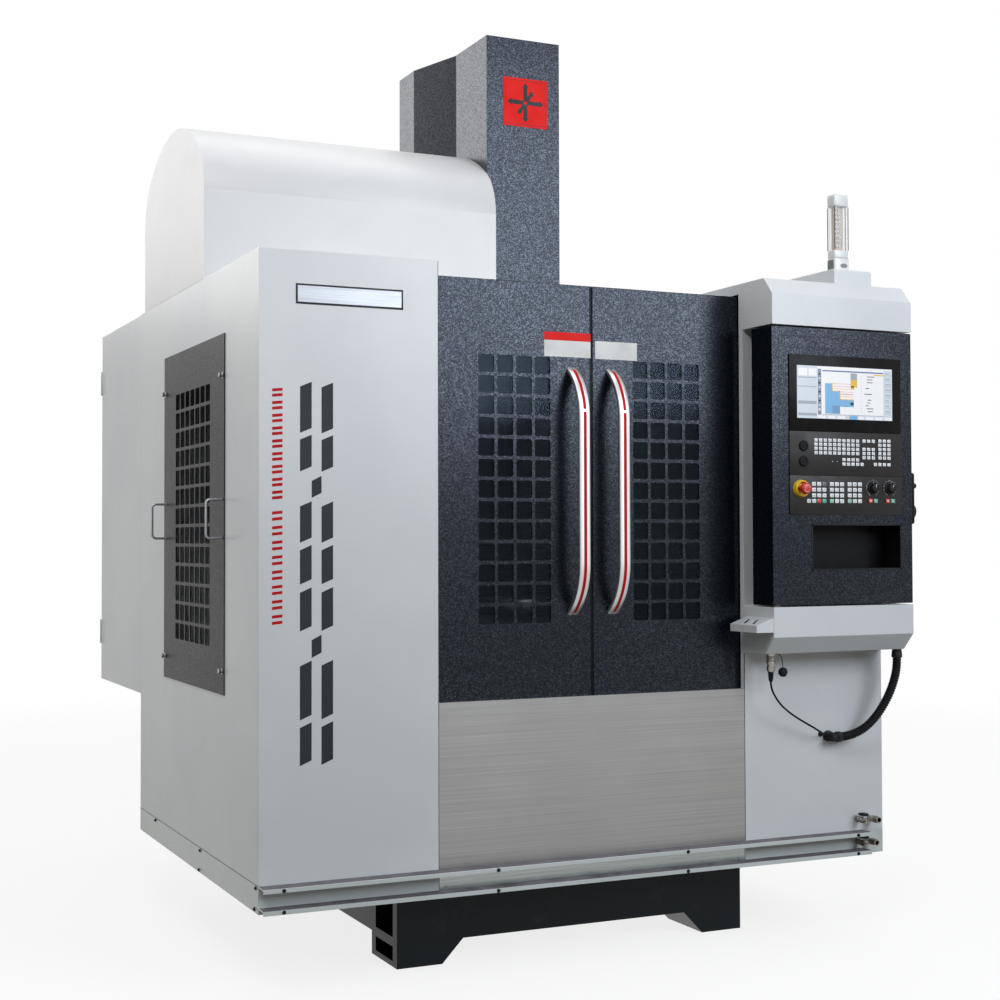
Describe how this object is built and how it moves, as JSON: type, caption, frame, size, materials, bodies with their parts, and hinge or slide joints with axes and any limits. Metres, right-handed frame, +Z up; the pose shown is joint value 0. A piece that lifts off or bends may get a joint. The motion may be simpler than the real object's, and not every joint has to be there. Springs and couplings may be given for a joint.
{
  "type": "cnc machining center",
  "caption": "Enclosed vertical machining center with sliding perforated doors, tilting rotary table, tool magazine, rear cabinet and swivelling operator station",
  "frame": {"origin": "on the floor, in the middle of the machine's footprint", "axes": "+X to the right along the front, +Y to the back, +Z up"},
  "size_m": [2.154, 2.275, 2.88],
  "materials": {
    "base_paint": "gloss",
    "housing_paint": "gloss",
    "pan_paint": "gloss",
    "dark_paint": "fine texture",
    "sheet_steel": "brushed",
    "machined_steel": "satin",
    "cast_paint": "satin paint",
    "black_steel": "satin",
    "bright_steel": "satin",
    "satin_aluminium": "satin",
    "safety_glass": "gloss",
    "panel_plastic": "matte",
    "black_plastic": "matte",
    "grey_keys": "matte",
    "red_plastic": "gloss",
    "red_key": "gloss",
    "green_key": "gloss",
    "lamp_plastic": "gloss",
    "valve_metal": "nickel plated",
    "cable_rubber": "matte"
  },
  "bodies": {
    "machine": {"base_casting": "base_paint", "column_casting": "cast_paint", "drip_pan": "pan_paint", "ledge_bolts": "black_steel", "left_housing": "housing_paint", "right_housing": "housing_paint", "back_panel": "housing_paint", "roof_panel": "housing_paint", "lower_front_panel": "sheet_steel", "cabin_liner": "sheet_steel", "door_rails": "machined_steel", "left_access_panel": "dark_paint", "right_access_panel": "dark_paint", "access_hardware": "bright_steel", "magazine_hood": "housing_paint", "column_cover": "dark_paint", "electrical_cabinet": "housing_paint", "swivel_pins": "machined_steel", "lamp_duct": "housing_paint", "signal_lamp": "lamp_plastic", "air_valves": "valve_metal", "service_connector": "valve_metal", "service_cable": "cable_rubber", "panel_conduit": "cable_rubber", "cord_glands": "black_plastic"},
    "left_door": {"left_door": "dark_paint", "left_door_glass": "safety_glass", "left_door_handle": "satin_aluminium"},
    "right_door": {"right_door": "dark_paint", "right_door_glass": "safety_glass", "right_door_handle": "satin_aluminium"},
    "operator_station": {"operator_box": "dark_paint", "display_unit": "panel_plastic", "keyboard_panel": "panel_plastic", "machine_panel": "panel_plastic", "panel_keys": "grey_keys", "handwheel_pendant": "black_plastic"},
    "emergency_stop": {"emergency_stop": "red_plastic"},
    "feed_override_knob": {"feed_override_knob": "black_plastic"},
    "spindle_override_knob": {"spindle_override_knob": "black_plastic"},
    "feed_stop_key": {"feed_stop_key": "red_key"},
    "feed_start_key": {"feed_start_key": "green_key"},
    "spindle_stop_key": {"spindle_stop_key": "red_key"},
    "spindle_start_key": {"spindle_start_key": "green_key"},
    "pendant_handwheel": {"pendant_handwheel": "satin_aluminium"},
    "upper_valve_lever": {"upper_valve_lever": "black_steel"},
    "lower_valve_lever": {"lower_valve_lever": "black_steel"},
    "cabinet_door": {"cabinet_door": "housing_paint"},
    "cabinet_latch": {"cabinet_latch": "black_steel"},
    "y_saddle": {"y_saddle": "cast_paint"},
    "tilt_cradle": {"tilt_cradle": "cast_paint"},
    "rotary_table": {"rotary_table": "machined_steel"},
    "spindle_head": {"spindle_head": "cast_paint"},
    "spindle": {"spindle": "machined_steel"},
    "magazine_disc": {"magazine_disc": "machined_steel"},
    "change_arm": {"change_arm": "machined_steel"},
    "front_way_leaf": {"front_way_leaf": "sheet_steel"},
    "rear_way_leaf": {"rear_way_leaf": "sheet_steel"},
    "x_table": {"x_table": "cast_paint", "trunnion_frame": "cast_paint"}
  },
  "joints": [
    {"name": "left_door_slide", "type": "slide", "parent": "machine", "child": "left_door", "axis": [-1, 0, 0], "range_m": [0, 0.4]},
    {"name": "right_door_slide", "type": "slide", "parent": "machine", "child": "right_door", "axis": [1, 0, 0], "range_m": [0, 0.4]},
    {"name": "station_swivel", "type": "hinge", "parent": "machine", "child": "operator_station", "pos_m": [0.557, -1.0455, 1.435], "axis": [0, 0, -1], "range_deg": [0, 90]},
    {"name": "emergency_stop_push", "type": "slide", "parent": "operator_station", "child": "emergency_stop", "axis": [0, 1, 0], "range_m": [0, 0.006]},
    {"name": "feed_override_turn", "type": "hinge", "parent": "operator_station", "child": "feed_override_knob", "pos_m": [0.872, -1.1015, 1.3717], "axis": [0, -1, 0], "range_deg": [-150, 150]},
    {"name": "spindle_override_turn", "type": "hinge", "parent": "operator_station", "child": "spindle_override_knob", "pos_m": [0.9374, -1.1015, 1.3717], "axis": [0, -1, 0], "range_deg": [-150, 150]},
    {"name": "feed_stop_key_press", "type": "slide", "parent": "operator_station", "child": "feed_stop_key", "axis": [0, 1, 0], "range_m": [0, 0.002], "stiffness_N_per_m": 600},
    {"name": "feed_start_key_press", "type": "slide", "parent": "operator_station", "child": "feed_start_key", "axis": [0, 1, 0], "range_m": [0, 0.002], "stiffness_N_per_m": 600},
    {"name": "spindle_stop_key_press", "type": "slide", "parent": "operator_station", "child": "spindle_stop_key", "axis": [0, 1, 0], "range_m": [0, 0.002], "stiffness_N_per_m": 600},
    {"name": "spindle_start_key_press", "type": "slide", "parent": "operator_station", "child": "spindle_start_key", "axis": [0, 1, 0], "range_m": [0, 0.002], "stiffness_N_per_m": 600},
    {"name": "handwheel_turn", "type": "hinge", "parent": "operator_station", "child": "pendant_handwheel", "pos_m": [1.055, -1.0425, 1.302], "axis": [1, 0, 0], "continuous": true},
    {"name": "upper_valve_turn", "type": "hinge", "parent": "machine", "child": "upper_valve_lever", "pos_m": [0.925, -0.9645, 0.342], "axis": [0, 0, 1], "range_deg": [0, 90]},
    {"name": "lower_valve_turn", "type": "hinge", "parent": "machine", "child": "lower_valve_lever", "pos_m": [0.925, -0.9645, 0.272], "axis": [0, 0, 1], "range_deg": [0, 90]},
    {"name": "cabinet_door_hinge", "type": "hinge", "parent": "machine", "child": "cabinet_door", "pos_m": [-1.025, 1.1198, 1.344], "axis": [0, 0, 1], "range_deg": [0, 110]},
    {"name": "cabinet_latch_turn", "type": "hinge", "parent": "cabinet_door", "child": "cabinet_latch", "pos_m": [0.13, 1.1125, 1.35], "axis": [0, 1, 0], "range_deg": [0, 90]},
    {"name": "y_slide", "type": "slide", "parent": "machine", "child": "y_saddle", "axis": [0, 1, 0], "range_m": [-0.17, 0.13]},
    {"name": "x_slide", "type": "slide", "parent": "y_saddle", "child": "x_table", "axis": [1, 0, 0], "range_m": [-0.16, 0.16]},
    {"name": "tilt_turn", "type": "hinge", "parent": "x_table", "child": "tilt_cradle", "pos_m": [0.076, -0.1875, 1.04], "axis": [1, 0, 0], "range_deg": [-30, 110]},
    {"name": "rotary_turn", "type": "hinge", "parent": "tilt_cradle", "child": "rotary_table", "pos_m": [0.076, -0.1875, 1], "axis": [0, 0, 1], "continuous": true},
    {"name": "z_slide", "type": "slide", "parent": "machine", "child": "spindle_head", "axis": [0, 0, 1], "range_m": [-0.39, 0]},
    {"name": "spindle_turn", "type": "hinge", "parent": "spindle_head", "child": "spindle", "pos_m": [0.076, -0.1875, 1.7], "axis": [0, 0, 1], "continuous": true},
    {"name": "magazine_turn", "type": "hinge", "parent": "machine", "child": "magazine_disc", "pos_m": [-0.44, -0.0875, 2.08], "axis": [1, 0, 0], "continuous": true},
    {"name": "change_arm_turn", "type": "hinge", "parent": "machine", "child": "change_arm", "pos_m": [-0.205, -0.1375, 1.6], "axis": [0, 0, 1], "range_deg": [0, 270]},
    {"name": "front_leaf_slide", "type": "slide", "parent": "machine", "child": "front_way_leaf", "axis": [0, 1, 0], "range_m": [-0.085, 0.065]},
    {"name": "rear_leaf_slide", "type": "slide", "parent": "machine", "child": "rear_way_leaf", "axis": [0, 1, 0], "range_m": [-0.085, 0.065]}
  ],
  "couplings": [
    {"joint": "front_leaf_slide", "follows": "y_slide", "ratio": 0.5},
    {"joint": "rear_leaf_slide", "follows": "y_slide", "ratio": 0.5}
  ]
}
